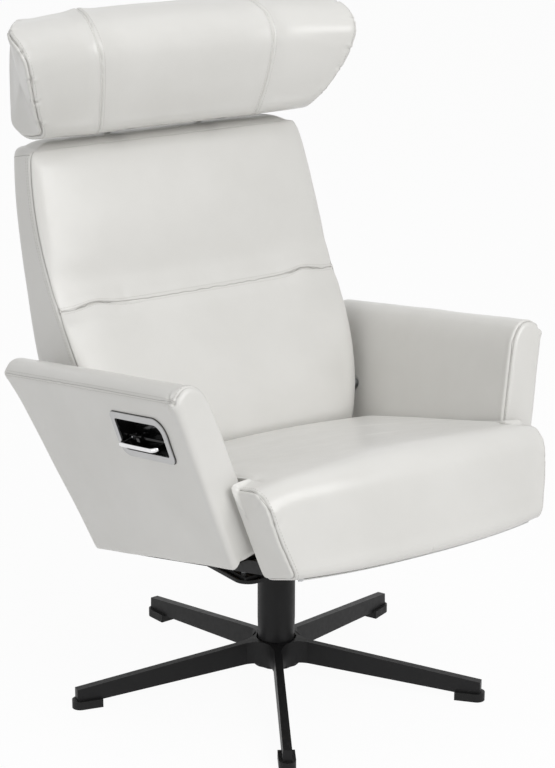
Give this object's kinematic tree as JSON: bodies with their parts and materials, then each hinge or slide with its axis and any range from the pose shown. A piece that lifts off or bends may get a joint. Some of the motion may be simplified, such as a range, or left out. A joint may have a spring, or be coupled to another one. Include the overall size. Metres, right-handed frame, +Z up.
{
  "type": "swivel recliner",
  "caption": "Swivel recliner with a leather seat, arms, tall back and winged headrest on a black star base, and a lever in one arm that frees the recline.",
  "frame": {"origin": "on the swivel axis at the floor", "axes": "+Z up along the swivel axis, the sitter faces -Y and the sitter's right arm, with the lever, is on -X"},
  "size_m": [0.7132, 0.7951, 1.0822],
  "materials": {
    "leather": "smooth, soft sheen",
    "black_steel": "satin powder coat",
    "bare_steel": "zinc plated",
    "chrome": "polished",
    "black_plastic": "matte",
    "black_gloss": "gloss",
    "white_plastic": "matte",
    "plywood": "plain"
  },
  "bodies": {
    "base": {"star_base": "black_steel", "foot_pads": "black_plastic", "column_tube": "black_steel", "column_plug": "bare_steel", "base_bolt": "bare_steel", "base_washer": "bare_steel", "lower_bush": "white_plastic", "upper_bush": "white_plastic", "thrust_washer": "white_plastic"},
    "seat_unit": {"spindle": "bare_steel", "spindle_clip": "bare_steel", "spindle_bolts": "bare_steel", "mounting_plate": "black_steel", "wedge_brackets": "black_steel", "plate_bolts": "bare_steel", "cross_tubes": "black_steel", "side_rails": "black_steel", "guide_rods": "bare_steel", "arm_brackets": "black_steel", "arm_bolts": "bare_steel", "left_arm_board": "plywood", "right_arm_board": "plywood", "left_arm_pad": "leather", "right_arm_pad": "leather", "pivot_bushes": "white_plastic", "bezel_ring": "chrome", "recess_cup": "black_gloss", "release_cable": "black_plastic", "spring_anchor": "black_steel", "anchor_pin": "bare_steel", "release_head": "black_plastic", "piston_rod": "bare_steel"},
    "handle": {"release_lever": "chrome", "lever_shaft": "bare_steel", "lever_cam": "black_plastic"},
    "valve_lever": {"valve_lever": "bare_steel"},
    "spring_tube": {"spring_tube": "black_steel"},
    "seat": {"seat_pan": "plywood", "slide_blocks": "black_plastic", "seat_brackets": "black_steel", "seat_cushion": "leather", "seat_lining": "leather", "lining_screws": "bare_steel"},
    "backrest": {"back_frame": "black_steel", "back_board": "plywood", "back_shell": "leather", "back_cushion": "leather", "pivot_pins": "bare_steel", "drive_pins": "bare_steel", "spring_pin": "bare_steel", "stay_sleeves": "black_plastic"},
    "headrest_post": {"headrest_bracket": "chrome"},
    "headrest": {"headrest_board": "plywood", "hinge_clamps": "black_plastic", "headrest_cushion": "leather"}
  },
  "joints": [
    {"name": "swivel", "type": "hinge", "parent": "base", "child": "seat_unit", "pos_m": [0, 0, 0.15], "axis": [0, 0, 1], "continuous": true},
    {"name": "recline", "type": "hinge", "parent": "seat_unit", "child": "backrest", "pos_m": [0, 0.14629, 0.43003], "axis": [-1, 0, 0], "range_deg": [0, 25]},
    {"name": "seat_slide", "type": "slide", "parent": "seat_unit", "child": "seat", "axis": [0, -0.9748, 0.2233], "range_m": [0, 0.0396]},
    {"name": "spring_slide", "type": "slide", "parent": "seat_unit", "child": "spring_tube", "axis": [0, -0.9828, 0.1844], "range_m": [0, 0.0715]},
    {"name": "headrest_height", "type": "slide", "parent": "backrest", "child": "headrest_post", "axis": [0, 0.2233, 0.9748], "range_m": [0, 0.05]},
    {"name": "headrest_tilt", "type": "hinge", "parent": "headrest_post", "child": "headrest", "pos_m": [0, 0.34148, 0.92392], "axis": [1, 0, 0], "range_deg": [-10, 20]},
    {"name": "lever", "type": "hinge", "parent": "seat_unit", "child": "handle", "pos_m": [-0.3154, -0.13383, 0.51078], "axis": [-0.0201, 0.9884, -0.1504], "range_deg": [0, 20], "stiffness_Nm_per_rad": 0.8, "springref_deg": -8.59},
    {"name": "valve", "type": "hinge", "parent": "seat_unit", "child": "valve_lever", "pos_m": [0, -0.18115, 0.32626], "axis": [0, 0.1844, 0.9828], "range_deg": [0, 8.2]}
  ],
  "couplings": [
    {"joint": "seat_slide", "follows": "recline", "m_per_rad": 0.09048},
    {"joint": "spring_slide", "follows": "recline", "m_per_rad": 0.16357},
    {"joint": "valve", "follows": "lever", "ratio": 0.4}
  ]
}
